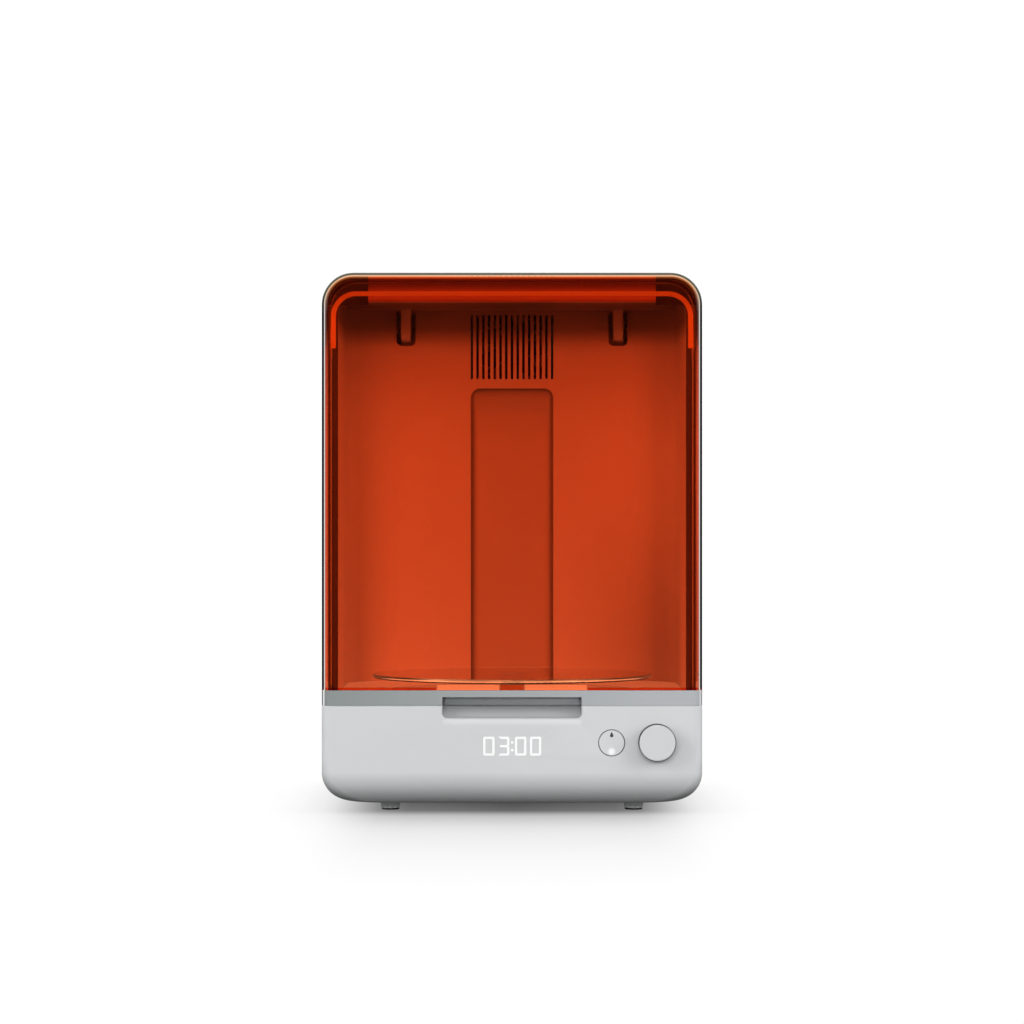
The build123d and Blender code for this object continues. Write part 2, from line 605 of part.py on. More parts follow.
FAN_Z, FAN_D0, FAN_D1 = 343.3, 240, 255
with BuildPart() as fan_frame:
    box_between(-30, 30, FAN_D0, FAN_D1, FAN_Z - 30, FAN_Z + 30)
    fillet(fan_frame.edges().filter_by(Axis.Y), 3)
    cyl_y(0, FAN_Z, 28, FAN_D0 - 1, FAN_D1 - 2, mode=Mode.SUBTRACT)
    cyl_y(0, FAN_Z, 27, FAN_D0 - 1, FAN_D1 + 1, mode=Mode.SUBTRACT)
    cyl_y(0, FAN_Z, 10, FAN_D1 - 2, FAN_D1)
    with BuildSketch(face_plane(FAN_D1 - 2)):
        with Locations((0, FAN_Z)):
            with PolarLocations(18.5, 4, start_angle=45):
                Rectangle(19.5, 3)
    extrude(amount=-2)
    cyl_y(0, FAN_Z, 1.55, FAN_D1 - 3, FAN_D1 + 1, mode=Mode.SUBTRACT)
    for sx in (-25, 25):
        for sz in (-25, 25):
            cyl_y(sx, FAN_Z + sz, 2.1, FAN_D0 - 1, FAN_D1 + 1, mode=Mode.SUBTRACT)
save(fan_frame, "fan_frame")

with BuildPart() as fan_rotor:
    cyl_y(0, FAN_Z, 11, FAN_D0 + 1.0, FAN_D1 - 2.8)
    fillet(fan_rotor.faces().sort_by(Axis.Y)[0].edges(), 1.2)
    cyl_y(0, FAN_Z, 1.5, FAN_D1 - 2.8, FAN_D1 - 0.4)
    for i in range(7):
        with Locations(Location((0, y_at((FAN_D0 + FAN_D1) / 2 - 0.8), FAN_Z), (0, i * 360 / 7, 0))):
            with Locations(Location((18.0, 0, 0), (38, 0, 0))):
                Box(15.6, 1.2, 13.0)
save(fan_rotor, "fan_rotor")

with BuildPart() as fan_screws:
    for sx in (-25, 25):
        for sz in (-25, 25):
            cyl_y(sx, FAN_Z + sz, 1.9, LINER_BACK + WALL, FAN_D1 + 0.1)
            cyl_y(sx, FAN_Z + sz, 3.2, FAN_D1 + 0.1, FAN_D1 + 1.9)
save(fan_screws, "fan_screws")

# -------------------------------------------------------------- rear housing
with BuildPart() as rear_housing:
    with BuildSketch(face_plane(CHEEK_D + 0.8)):
        with Locations((0, H - 225)):
            RectangleRounded(W, 450, LID_R)
        with Locations((0, -200 + 0.3 + BASE_TOP)):
            Rectangle(400, 400, mode=Mode.SUBTRACT)
    extrude(amount=-(DEPTH - CHEEK_D - 0.8))
    back = rear_housing.faces().sort_by(Axis.Y)[-1]
    rim = [e for e in back.edges() if e.center().Z > BASE_TOP + 2]
    fillet(rim, 7.0)
    with BuildSketch(face_plane(CHEEK_D - 5)):
        with Locations((0, H - 3.5 - 225)):
            RectangleRounded(2 * 131.5, 450, LID_R - 3.5)
    extrude(amount=-(DEPTH - WALL - CHEEK_D + 5), mode=Mode.SUBTRACT)
    # side outline: shoulder under the cover's skirt, round nose at the hinge
    with BuildSketch(side_plane(0)) as lid_side_zone:
        with BuildLine():
            u_top = math.sqrt(R_HOUS ** 2 - 20 ** 2)
            a0 = (PIV_D - u_top, PIV_Z + 20)
            Polyline((0, SKIRT_Z - 0.6), (PIV_D - R_HOUS, SKIRT_Z - 0.6), (PIV_D - R_HOUS, PIV_Z))
            RadiusArc((PIV_D - R_HOUS, PIV_Z), a0, R_HOUS)
            Polyline(a0, (a0[0], 420), (0, 420), (0, SKIRT_Z - 0.6))
        make_face()
    extrude(amount=200, both=True, mode=Mode.SUBTRACT)
    # soften the shoulder's front corners
    sh = [e for e in rear_housing.edges().filter_by(Axis.X)
          if abs(e.center().Z - (SKIRT_Z - 0.6)) < 0.2 and abs(e.center().Y - y_at(CHEEK_D + 0.8)) < 0.2]
    fillet(sh, 12)
    # service opening in the back wall and the seat of its cover
    with BuildSketch(face_plane(280)):
        with Locations((0, 235)):
            RectangleRounded(164, 254, 6)
    extrude(amount=-20, mode=Mode.SUBTRACT)
    with BuildSketch(face_plane(DEPTH - 1.5)):
        with Locations((0, 235)):
            RectangleRounded(184.4, 274.4, 10)
    extrude(amount=-5, mode=Mode.SUBTRACT)
    with BuildSketch(face_plane(286)):
        for sx in (-1, 1):
            for sz in (110, 235, 360):
                with Locations((sx * 87, sz)):
                    Circle(1.25)
    extrude(amount=-6, mode=Mode.SUBTRACT)
save(rear_housing, "rear_housing")

with BuildPart() as rear_cover:
    with BuildSketch(face_plane(DEPTH - 1.5)):
        with Locations((0, 235)):
            RectangleRounded(184, 274, 9.8)
        with Locations((0, 340)):
            with GridLocations(5.2, 0, 13, 1):
                SlotOverall(50, 2.6, rotation=90, mode=Mode.SUBTRACT)
        with Locations((0, 132)):
            with GridLocations(5.2, 0, 21, 1):
                SlotOverall(30, 2.6, rotation=90, mode=Mode.SUBTRACT)
        for sx in (-1, 1):
            for sz in (110, 235, 360):
                with Locations((sx * 87, sz)):
                    Circle(1.6, mode=Mode.SUBTRACT)
    extrude(amount=-1.5)
save(rear_cover, "rear_cover")

with BuildPart() as rear_cover_screws:
    for sx in (-87, 87):
        for sz in (110, 235, 360):
            cyl_y(sx, sz, 1.2, 287.2, DEPTH)
            cyl_y(sx, sz, 2.8, DEPTH, DEPTH + 1.3)
            cyl_y(sx, sz, 1.1, DEPTH + 0.4, DEPTH + 2, mode=Mode.SUBTRACT)
save(rear_cover_screws, "rear_cover_screws")

# ------------------------------------------------------------ hinge hardware
AX_R = 4.0
with BuildPart() as hinge_brackets:
    for sx in (-1, 1):
        with BuildSketch(side_plane(sx * 92)):
            with BuildLine():
                Polyline((PIV_D, PIV_Z + 9.2), (DEPTH - WALL, PIV_Z + 4), (DEPTH - WALL, PIV_Z - 26),
                         (DEPTH - WALL - 4, PIV_Z - 26), (PIV_D, PIV_Z - 9.2), close=True)
            make_face()
            with Locations((PIV_D, PIV_Z)):
                Circle(9.2)
                Circle(AX_R + 0.05, mode=Mode.SUBTRACT)
        extrude(amount=sx * 5)
        box_between(sx * 89, sx * 106, DEPTH - WALL - 4, DEPTH - WALL, PIV_Z - 26, PIV_Z + 3)
save(hinge_brackets, "hinge_brackets")

with BuildPart() as hinge_dampers:
    for sx in (-1, 1):
        cyl_x(PIV_D, PIV_Z, 8.8, sx * 97.0, sx * 117)
        cyl_x(PIV_D, PIV_Z, AX_R + 0.05, sx * 96, sx * 114.5, mode=Mode.SUBTRACT)
save(hinge_dampers, "hinge_dampers")

with BuildPart() as hinge_axle:
    cyl_x(PIV_D, PIV_Z, AX_R, -114, 114)
    chamfer(hinge_axle.edges().filter_by(GeomType.CIRCLE), 0.5)
save(hinge_axle, "hinge_axle")

with BuildPart() as torsion_springs:
    for sx in (-1, 1):
        x0 = 52.0 if sx > 0 else -72.0
        with BuildLine(mode=Mode.PRIVATE) as coil:
            Helix(pitch=2.5, height=20, radius=6.6, center=(x0, y_at(PIV_D), PIV_Z), direction=(1, 0, 0))
        start = coil.line @ 0
        tangent = coil.line % 0
        with BuildSketch(Plane(origin=start, z_dir=tangent), mode=Mode.PRIVATE) as wire_section:
            Circle(0.8)
        sweep(wire_section.sketch, path=coil.line, is_frenet=True)
save(torsion_springs, "torsion_springs")



def uv(u, v):
    """point of the arm's side view, u forward of and v above the hinge axis"""
    return (PIV_D - u, PIV_Z + v)


BEAM_D0, BEAM_D1 = 66.0, 76.0
LIP_D0 = 73.4          # front face of the ceiling's lip
CEIL_D1 = 233.3      # the cover's ceiling reaches back to just clear of the back wall
ROOF_IN = H - WALL            # underside of the cover's roof
for arm_name, sx in (("hinge_arm_left", -1), ("hinge_arm_right", 1)):
    with BuildPart() as hinge_arm:
        with BuildSketch(side_plane(sx * ARM_X)):
            # gooseneck: down and forward under the housing's edge, through the
            # slot near its bottom, up to the roof, then forward to the beam
            with BuildLine():
                inner_edge = Spline(uv(6.6, -3.6), uv(11, -9.6), uv(14, -16.0), uv(18.6, -21.3), uv(24.5, -20.2),
                                    uv(30.5, -16.0), uv(35.2, -10.0), uv(37.0, -2.0))
                up = Line(inner_edge @ 1, uv(37.0, 10.0))
                top = Line(up @ 1, (BEAM_D1, PIV_Z + 10.0))
                front = Line(top @ 1, (BEAM_D1, PIV_Z + 2.5))
                under = Line(front @ 1, uv(49.0, 2.5))
                outer_edge = Spline(uv(49.0, 2.5), uv(46.4, -2.0), uv(45.4, -13.0), uv(42.0, -20.6), uv(36.0, -24.0),
                                    uv(29.0, -24.9), uv(23.0, -28.0), uv(17.0, -29.6), uv(10.0, -25.5), uv(4.5, -15.0),
                                    uv(-1.0, -6.4))
                Line(outer_edge @ 1, inner_edge @ 0)
            make_face()
            with Locations(uv(0, 0)):
                Circle(8.0)
                Circle(AX_R, mode=Mode.SUBTRACT)
        extrude(amount=ARM_W / 2, both=True)
    save(hinge_arm, arm_name)

# --------------------------------------------------------------- amber cover
with BuildPart() as lid_shell:
    with BuildSketch(face_plane(0)):
        with Locations((0, H - 225)):
            RectangleRounded(W, 450, LID_R)
        with Locations((0, STRIP_TOP - 200)):
            Rectangle(400, 400, mode=Mode.SUBTRACT)
    extrude(amount=-250)
    front_face = lid_shell.faces().sort_by(Axis.Y)[0]
    rim = [e for e in front_face.edges() if e.center().Z > STRIP_TOP + 2]
    fillet(rim, EDGE_R)
    with BuildSketch(face_plane(WALL)):
        with Locations((0, ROOF_IN - 225)):
            RectangleRounded(W - 2 * WALL, 450, LID_R - WALL)
        with Locations((0, STRIP_TOP - 201)):
            Rectangle(400, 400, mode=Mode.SUBTRACT)
    extrude(amount=-250, mode=Mode.SUBTRACT)
    # side outline: cheeks at the front, a skirt along the top, and a rear
    # edge that runs round the hinge axis
    with BuildSketch(side_plane(0)):
        with BuildLine():
            u_rim = math.sqrt(R_LID ** 2 - 20 ** 2)
            e1 = (PIV_D - u_rim, PIV_Z + 20)
            Polyline((CHEEK_D, STRIP_TOP - 5), (CHEEK_D, SKIRT_Z - 12.6))
            RadiusArc((CHEEK_D, SKIRT_Z - 12.6), (CHEEK_D + 12.6, SKIRT_Z), 12.6)
            Polyline((CHEEK_D + 12.6, SKIRT_Z), (PIV_D - R_LID, SKIRT_Z), (PIV_D - R_LID, PIV_Z))
            RadiusArc((PIV_D - R_LID, PIV_Z), e1, R_LID)
            Polyline(e1, (e1[0], 420), (340, 420), (340, STRIP_TOP - 5), (CHEEK_D, STRIP_TOP - 5))
        make_face()
    extrude(amount=200, both=True, mode=Mode.SUBTRACT)
save(lid_shell, "lid_shell")

with BuildPart() as lid_handle:
    with BuildSketch(top_plane(STRIP_BOT)):
        with Locations((0, 150)):
            RectangleRounded(W, 300, EDGE_R)
        with Locations((0, 150 + WALL)):
            RectangleRounded(W - 2 * WALL, 300, EDGE_R - WALL, mode=Mode.SUBTRACT)
        with Locations((0, CHEEK_D + 200)):
            Rectangle(400, 400, mode=Mode.SUBTRACT)
    extrude(amount=STRIP_TOP - STRIP_BOT)
    # thicker middle with the upper half of the finger slot
    box_between(-53.2, 53.2, WALL - 1, 12.2, STRIP_BOT, STRIP_TOP)
    with BuildSketch(face_plane(-1)):
        with Locations((0, SLOT_HI - 10)):
            Rectangle(SLOT_W, 20)
    extrude(amount=-8.5, mode=Mode.SUBTRACT)
save(lid_handle, "lid_handle")

with BuildPart() as lid_latch_magnet:
    box_between(-8.5, 8.5, 5.0, 10.6, STRIP_TOP, 92.4)
    fillet(lid_latch_magnet.edges().filter_by(Axis.Z), 1.2)
save(lid_latch_magnet, "lid_latch_magnet")

with BuildPart() as hinge_beam:
    box_between(-104.6, 104.6, BEAM_D0, BEAM_D1, 368.0, 382.0)
    low = hinge_beam.edges().filter_by(Axis.X).group_by(Axis.Z)[0]
    fillet(low, 2.6)
save(hinge_beam, "hinge_beam")

with BuildPart() as lid_bow:
    with BuildSketch(face_plane(WALL + 0.03)):
        with Locations((0, 371.7 - 100)):
            RectangleRounded(2 * 128.4, 200, 17.8)
        with Locations((0, 368.4 - 100)):
            RectangleRounded(2 * 124.9, 200, 14.4, mode=Mode.SUBTRACT)
        with Locations((0, 331.4 - 150)):
            Rectangle(400, 300, mode=Mode.SUBTRACT)
    extrude(amount=-4.5)
save(lid_bow, "lid_bow")

# opaque ceiling under the cover's roof, with a lip each side of the beam
with BuildPart() as lid_ceiling:
    box_between(-126, 126, BEAM_D1, CEIL_D1, 371.2, 373.2)
    # front lip that fills the cover's corners beside the beam
    with BuildSketch(face_plane(LIP_D0)):
        with Locations((0, 381.6 - 100)):
            RectangleRounded(2 * 131.4, 200, LID_R - WALL - 0.6)
        with Locations((0, 366.2 - 100)):
            Rectangle(300, 200, mode=Mode.SUBTRACT)
        with Locations((0, 371.2)):
            Rectangle(209.4, 60, mode=Mode.SUBTRACT)
    extrude(amount=-1.8)
    for sx in (-1, 1):
        box_between(sx * 104.7, sx * 126.0, LIP_D0 + 1.0, BEAM_D1 + 1, 371.2, 373.2)
    fillet(lid_ceiling.edges().filter_by(Axis.Z).group_by(Axis.Y)[-1], CORNER_R)
    # notches round the arms
    for sx in (-1, 1):
        box_between(sx * ARM_X - 4.3, sx * ARM_X + 4.3, 217, 240, 370, 375, mode=Mode.SUBTRACT)
save(lid_ceiling, "lid_ceiling")

# clear bonding lip along the inside foot of the front pane
with BuildPart() as lid_inner_lip:
    for sx in (-1, 1):
        box_between(sx * 53.8, sx * 131.4, WALL + 0.05, WALL + 2.6, STRIP_TOP + 0.05, STRIP_TOP + 1.8)
save(lid_inner_lip, "lid_inner_lip")

# pale catch rail on the handle block, each side of the magnet
with BuildPart() as lid_catch_rail:
    for sx in (-1, 1):
        box_between(sx * 8.9, sx * 53.2, 5.6, 10.4, STRIP_TOP, 92.5)
    fillet(lid_catch_rail.edges().filter_by(Axis.Z), 1.0)
save(lid_catch_rail, "lid_catch_rail")

print(len(names), "parts")
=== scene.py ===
import bpy, bmesh, math
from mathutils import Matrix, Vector


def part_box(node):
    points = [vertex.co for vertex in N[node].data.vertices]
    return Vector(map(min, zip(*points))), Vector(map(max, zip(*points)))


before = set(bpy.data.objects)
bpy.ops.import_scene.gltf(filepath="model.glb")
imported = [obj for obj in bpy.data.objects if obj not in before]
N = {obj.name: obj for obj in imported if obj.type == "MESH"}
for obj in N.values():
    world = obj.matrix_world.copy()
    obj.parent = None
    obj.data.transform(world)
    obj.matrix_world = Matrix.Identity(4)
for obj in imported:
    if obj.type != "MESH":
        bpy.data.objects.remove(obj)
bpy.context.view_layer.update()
scene = bpy.context.scene
scene.view_settings.view_transform = "Standard"
scene.view_settings.look = "None"

FRONT_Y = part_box("base_shell")[0].y          # front face of the unit

# light levels
AMBIENT, BEHIND = 0.25, 0.75
FRONT_BOX, LOW_BOX, KEY_LEFT, KEY_RIGHT = 12.0, 15.2, 13.5, 14.0
REAR_KEY = 16.0
FLOOR_BOUNCE = 0.25
ROOM = 0.01
SIDE_X, SIDE_Y0, SIDE_Y1, SIDE_L = 0.93, -0.24, 0.20, 0.6
TOP_Z, TOP_Y0, TOP_Y1, TOP_L = 0.80, -0.50, 0.12, 1.2
REAR_L = 0.8
# strength of the painted highlight on the cover's front rim
RIM_PAINTED_LIGHT = 1.0
LID_R = 0.0225                                # corner radius of the cover

# ------------------------------------------------------------------- camera
cam_data = bpy.data.cameras.new("camera")
cam = bpy.data.objects.new("camera", cam_data)
scene.collection.objects.link(cam)
scene.camera = cam
cam_data.sensor_width = 36.0
cam_data.lens = 120.63
cam_data.clip_start, cam_data.clip_end = 0.05, 60.0
cam.location = (0.0, -2.57025, 0.21528)
cam.rotation_euler = (math.radians(90), 0, 0)


# ---------------------------------------------------------- node tree helper
class Tree:
    """short way to write a node tree"""

    def __init__(self, tree):
        self.t = tree
        tree.nodes.clear()
        self.x = 0

    def add(self, kind, **values):
        n = self.t.nodes.new(kind)
        n.location = (self.x, 0)
        self.x += 180
        for k, v in values.items():
            if hasattr(n, k):
                setattr(n, k, v)
        return n

    def link(self, a, b):
        self.t.links.new(a, b)
        return b

    def put(self, socket, value):
        if isinstance(value, bpy.types.NodeSocket):
            self.t.links.new(value, socket)
        else:
            socket.default_value = value

    def math(self, op, a, b=0.0, c=None, clamp=False):
        n = self.add("ShaderNodeMath", operation=op, use_clamp=clamp)
        self.put(n.inputs[0], a)
        self.put(n.inputs[1], b)
        if c is not None:
            self.put(n.inputs[2], c)
        return n.outputs[0]

    def object_coords(self, scale=None):
        tc = self.add("ShaderNodeTexCoord")
        if scale is None:
            return tc.outputs["Object"]
        m = self.add("ShaderNodeMapping")
        m.inputs["Scale"].default_value = scale
        self.link(tc.outputs["Object"], m.inputs["Vector"])
        return m.outputs["Vector"]

    def noise(self, scale, detail=2.0, rough=0.5, vector=None, dist=0.0):
        n = self.add("ShaderNodeTexNoise")
        n.inputs["Scale"].default_value = scale
        n.inputs["Detail"].default_value = detail
        n.inputs["Roughness"].default_value = rough
        n.inputs["Distortion"].default_value = dist
        self.link(vector if vector is not None else self.object_coords(), n.inputs["Vector"])
        return n.outputs["Fac"]

    def axis(self, name):
        sep = self.add("ShaderNodeSeparateXYZ")
        self.link(self.object_coords(), sep.inputs[0])
        return sep.outputs[name]

    def remap(self, value, lo, hi, a=0.0, b=1.0, smooth=False):
        n = self.add("ShaderNodeMapRange", interpolation_type="SMOOTHSTEP" if smooth else "LINEAR")
        self.put(n.inputs["Value"], value)
        n.inputs["From Min"].default_value = lo
        n.inputs["From Max"].default_value = hi
        n.inputs["To Min"].default_value = a
        n.inputs["To Max"].default_value = b
        return n.outputs["Result"]

    def mix_colour(self, fac, a, b):
        n = self.add("ShaderNodeMix", data_type="RGBA")
        self.put(n.inputs[0], fac)
        self.put(n.inputs[6], a)
        self.put(n.inputs[7], b)
        return n.outputs[2]

    def bump(self, height, strength, distance, normal=None):
        n = self.add("ShaderNodeBump")
        n.inputs["Strength"].default_value = strength
        n.inputs["Distance"].default_value = distance
        self.link(height, n.inputs["Height"])
        if normal is not None:
            self.link(normal, n.inputs["Normal"])
        return n.outputs["Normal"]


def lin(r, g, b):
    """linear colour from display values 0-255"""
    def one(v):
        v = v / 255.0
        return v / 12.92 if v <= 0.04045 else ((v + 0.055) / 1.055) ** 2.4
    return (one(r), one(g), one(b), 1.0)


def scaled(c, k):
    return (min(1.0, c[0] * k), min(1.0, c[1] * k), min(1.0, c[2] * k), 1.0)


def new_material(name):
    m = bpy.data.materials.new(name)
    m.use_nodes = True
    return m, Tree(m.node_tree)


def output(t, shader):
    out = t.add("ShaderNodeOutputMaterial")
    t.link(shader, out.inputs["Surface"])


def moulded(name, colour, rough=0.42, grain=0.5, grain_scale=1500.0, vary=0.03, spec=0.5,
            coat=0.0, wear=0.0, sss=0.0, sheen_rough=0.08):
    """moulded plastic: spark-eroded grain, faint flow variation, edges a little lighter"""
    m, t = new_material(name)
    p = t.add("ShaderNodeBsdfPrincipled")
    obj = t.object_coords()
    flow = t.noise(14.0, 3.0, 0.55, obj)
    fine = t.noise(grain_scale, 2.0, 0.6, obj)
    wide = t.noise(grain_scale * 0.22, 2.0, 0.5, obj)
    col = t.mix_colour(t.remap(flow, 0.3, 0.7), scaled(colour, 1 - vary), scaled(colour, 1 + vary))
    speck = t.remap(fine, 0.35, 0.75, 0.0, 0.10)
    col = t.mix_colour(speck, col, scaled(colour, 0.80))
    if wear > 0:
        geo = t.add("ShaderNodeNewGeometry")
        edge = t.remap(geo.outputs["Pointiness"], 0.53, 0.62, 0.0, wear)
        col = t.mix_colour(edge, col, scaled(colour, 1.18))
    t.link(col, p.inputs["Base Color"])
    r = t.remap(t.math("ADD", t.math("MULTIPLY", fine, 0.5), t.math("MULTIPLY", wide, 0.5)),
                0.3, 0.7, rough - sheen_rough / 2, rough + sheen_rough / 2)
    t.link(r, p.inputs["Roughness"])
    p.inputs["Specular IOR Level"].default_value = spec
    p.inputs["Coat Weight"].default_value = coat
    p.inputs["Coat Roughness"].default_value = 0.12
    if grain > 0:
        h = t.math("ADD", fine, t.math("MULTIPLY", wide, 0.6))
        t.link(t.bump(h, grain, 0.00004), p.inputs["Normal"])
    if sss > 0:
        p.inputs["Subsurface Weight"].default_value = sss
        p.inputs["Subsurface Radius"].default_value = (0.004, 0.003, 0.002)
        p.inputs["Subsurface Scale"].default_value = 1.0
    output(t, p.outputs[0])
    return m


def curve(t, value, points):
    """piecewise linear function of a value, points given as (in, out); out may be a colour"""
    lo_in, hi_in = points[0][0], points[-1][0]
    ramp = t.add("ShaderNodeValToRGB")
    t.link(t.remap(value, lo_in, hi_in), ramp.inputs["Fac"])
    el = ramp.color_ramp.elements
    while len(el) > 2:
        el.remove(el[-1])
    for k, (a, b) in enumerate(points):
        f = (a - lo_in) / (hi_in - lo_in)
        e = el[0] if k == 0 else (el[1] if k == 1 else el.new(f))
        e.position = f
        e.color = b if isinstance(b, tuple) else (b, b, b, 1)
    return ramp.outputs["Color"]


def tune(mat, recipe):
    """rework one input of a finished material: recipe gets its tree and shader"""
    t = Tree.__new__(Tree)
    t.t, t.x = mat.node_tree, 2400
    p = next(n for n in mat.node_tree.nodes if n.type == "BSDF_PRINCIPLED")
    recipe(t, p)


def source(p, name):
    return p.inputs[name].links[0].from_socket


def clear(name, tint, rough=0.0, ior=1.49, wave=0.02, edge_tint=None):
    """clear acrylic or glass whose colour is what one wall lets through; lamps reach
    what is behind it"""
    m, t = new_material(name)
    p = t.add("ShaderNodeBsdfPrincipled")
    obj = t.object_coords()
    smudge = t.noise(38.0, 3.0, 0.55, obj)
    t.link(t.remap(smudge, 0.35, 0.75, rough, rough + 0.035), p.inputs["Roughness"])
    p.inputs["Base Color"].default_value = tint
    p.inputs["Transmission Weight"].default_value = 1.0
    p.inputs["IOR"].default_value = ior
    ripple = t.noise(26.0, 1.0, 0.4, obj)
    t.link(t.bump(ripple, wave, 0.0006), p.inputs["Normal"])
    through = t.add("ShaderNodeBsdfTransparent")
    through.inputs["Color"].default_value = (math.sqrt(tint[0]), math.sqrt(tint[1]), math.sqrt(tint[2]), 1)
    path = t.add("ShaderNodeLightPath")
    a = t.add("ShaderNodeMixShader")
    t.link(path.outputs["Is Diffuse Ray"], a.inputs[0])
    t.link(p.outputs[0], a.inputs[1])
    t.link(through.outputs[0], a.inputs[2])
    b = t.add("ShaderNodeMixShader")
    t.link(path.outputs["Is Shadow Ray"], b.inputs[0])
    t.link(a.outputs[0], b.inputs[1])
    t.link(through.outputs[0], b.inputs[2])
    output(t, b.outputs[0])
    return m


def metal(name, colour, rough=0.3, brushed=None, scale=900.0):
    """bare or plated metal, with rolling lines or fine pitting"""
    m, t = new_material(name)
    p = t.add("ShaderNodeBsdfPrincipled")
    v = t.object_coords(brushed if brushed else (1, 1, 1))
    fine = t.noise(scale, 3.0, 0.6, v)
    patch = t.noise(60.0, 3.0, 0.5)
    col = t.mix_colour(t.remap(patch, 0.3, 0.7), scaled(colour, 0.88), scaled(colour, 1.06))
    t.link(col, p.inputs["Base Color"])
    p.inputs["Metallic"].default_value = 1.0
    t.link(t.remap(fine, 0.3, 0.7, rough - 0.08, rough + 0.1), p.inputs["Roughness"])
    t.link(t.bump(fine, 0.25, 0.00003), p.inputs["Normal"])
    output(t, p.outputs[0])
    return m


def lit(name, colour, strength, base=(0.9, 0.9, 0.9, 1)):
    """an opal skin that glows: a lit window with light behind it, or painted light on a part with no lamp"""
    m, t = new_material(name)
    p = t.add("ShaderNodeBsdfPrincipled")
    fine = t.noise(900.0, 2.0, 0.5)
    t.link(t.remap(fine, 0.3, 0.7, 0.30, 0.42), p.inputs["Roughness"])
    t.link(t.mix_colour(t.remap(fine, 0.3, 0.7), scaled(base, 0.97), base), p.inputs["Base Color"])
    p.inputs["Emission Color"].default_value = colour
    p.inputs["Emission Strength"].default_value = strength
    output(t, p.outputs[0])
    return m


def board(name, mask, pad=(0.75, 0.62, 0.30, 1)):
    """printed circuit board: solder mask over tracks, glass weave under it"""
    m, t = new_material(name)
    p = t.add("ShaderNodeBsdfPrincipled")
    v = t.object_coords()
    brick = t.add("ShaderNodeTexBrick")
    t.link(v, brick.inputs["Vector"])
    brick.inputs["Scale"].default_value = 120.0
    brick.inputs["Mortar Size"].default_value = 0.09
    tracks = brick.outputs["Fac"]
    weave = t.noise(2600.0, 1.0, 0.5, v)
    col = t.mix_colour(t.math("MULTIPLY", tracks, 0.35), mask, scaled(mask, 1.5))
    col = t.mix_colour(t.remap(weave, 0.55, 0.75, 0.0, 0.25), col, scaled(mask, 0.7))
    t.link(col, p.inputs["Base Color"])
    t.link(t.remap(weave, 0.3, 0.7, 0.28, 0.4), p.inputs["Roughness"])
    t.link(t.bump(tracks, 0.3, 0.00004), p.inputs["Normal"])
    output(t, p.outputs[0])
    return m


# ---------------------------------------------------------------- materials
LIGHT = lin(214, 216, 217)
AMBER = (0.98, 0.268, 0.108, 1.0)

M = {}
M["base"] = moulded("light_grey_plastic", LIGHT, rough=0.46, grain=0.35, vary=0.012, wear=0.25)
M["knob"] = moulded("knob_plastic", lin(215, 217, 218), rough=0.40, grain=0.22, grain_scale=2200, vary=0.01, wear=0.35)
M["button"] = moulded("button_plastic", lin(218, 220, 221), rough=0.38, grain=0.18, grain_scale=2200, vary=0.01)
M["housing"] = moulded("housing_plastic", lin(206, 208, 210), rough=0.48, grain=0.45, vary=0.015, wear=0.25)
M["cover"] = moulded("cover_plastic", lin(150, 153, 156), rough=0.5, grain=0.5, vary=0.02, wear=0.3)
M["plate"] = moulded("plate_plastic", lin(150, 153, 156), rough=0.5, grain=0.5, vary=0.02, wear=0.3)
M["feet"] = moulded("feet_plastic", lin(205, 207, 208), rough=0.5, grain=0.4, vary=0.02)
# painted light: a faint white glow brightens the feet, which sit in the casing's shade
M["feet"].node_tree.nodes["Principled BSDF"].inputs["Emission Color"].default_value = (1, 1, 1, 1)
M["feet"].node_tree.nodes["Principled BSDF"].inputs["Emission Strength"].default_value = 0.06
M["strip"] = moulded("strip_plastic", lin(152, 157, 159), rough=0.26, grain=0.02, grain_scale=2600, vary=0.006, wear=0.1, spec=0.5, sheen_rough=0.03)
M["amber"] = clear("amber_acrylic", AMBER, rough=0.0, ior=1.49, wave=0.015)
M["bow"] = moulded("bow_orange_plastic", (0.78, 0.46, 0.12, 1), rough=0.25, grain=0.05, vary=0.02)
M["beam"] = moulded("beam_red_plastic", (0.46, 0.17, 0.07, 1), rough=0.3, grain=0.05, vary=0.03)
M["arm"] = moulded("arm_paint", (0.50, 0.49, 0.48, 1), rough=0.35, grain=0.3, vary=0.03)
M["chamber"] = moulded("white_chamber", lin(236, 237, 236), rough=0.5, grain=0.3, grain_scale=1300, vary=0.012)
M["opal"] = moulded("opal_diffuser", lin(210, 208, 204), rough=0.35, grain=0.15, vary=0.01)
# painted light: a faint white glow brightens the floor diffuser, whose lamps are off
M["opal"].node_tree.nodes["Principled BSDF"].inputs["Emission Color"].default_value = (1, 1, 1, 1)
M["opal"].node_tree.nodes["Principled BSDF"].inputs["Emission Strength"].default_value = 0.18
M["liner"] = moulded("white_chamber_wall", lin(236, 237, 236), rough=0.5, grain=0.3, grain_scale=1300, vary=0.012)
M["floor"] = moulded("white_chamber_floor", lin(236, 237, 236), rough=0.32, grain=0.2, grain_scale=1300, vary=0.012)
# painted light: a faint white glow brightens the chamber floor
M["floor"].node_tree.nodes["Principled BSDF"].inputs["Emission Color"].default_value = (1, 1, 1, 1)
M["floor"].node_tree.nodes["Principled BSDF"].inputs["Emission Strength"].default_value = 0.20
M["magnet"] = moulded("magnet_plating", lin(196, 196, 194), rough=0.35, grain=0.1, vary=0.02)
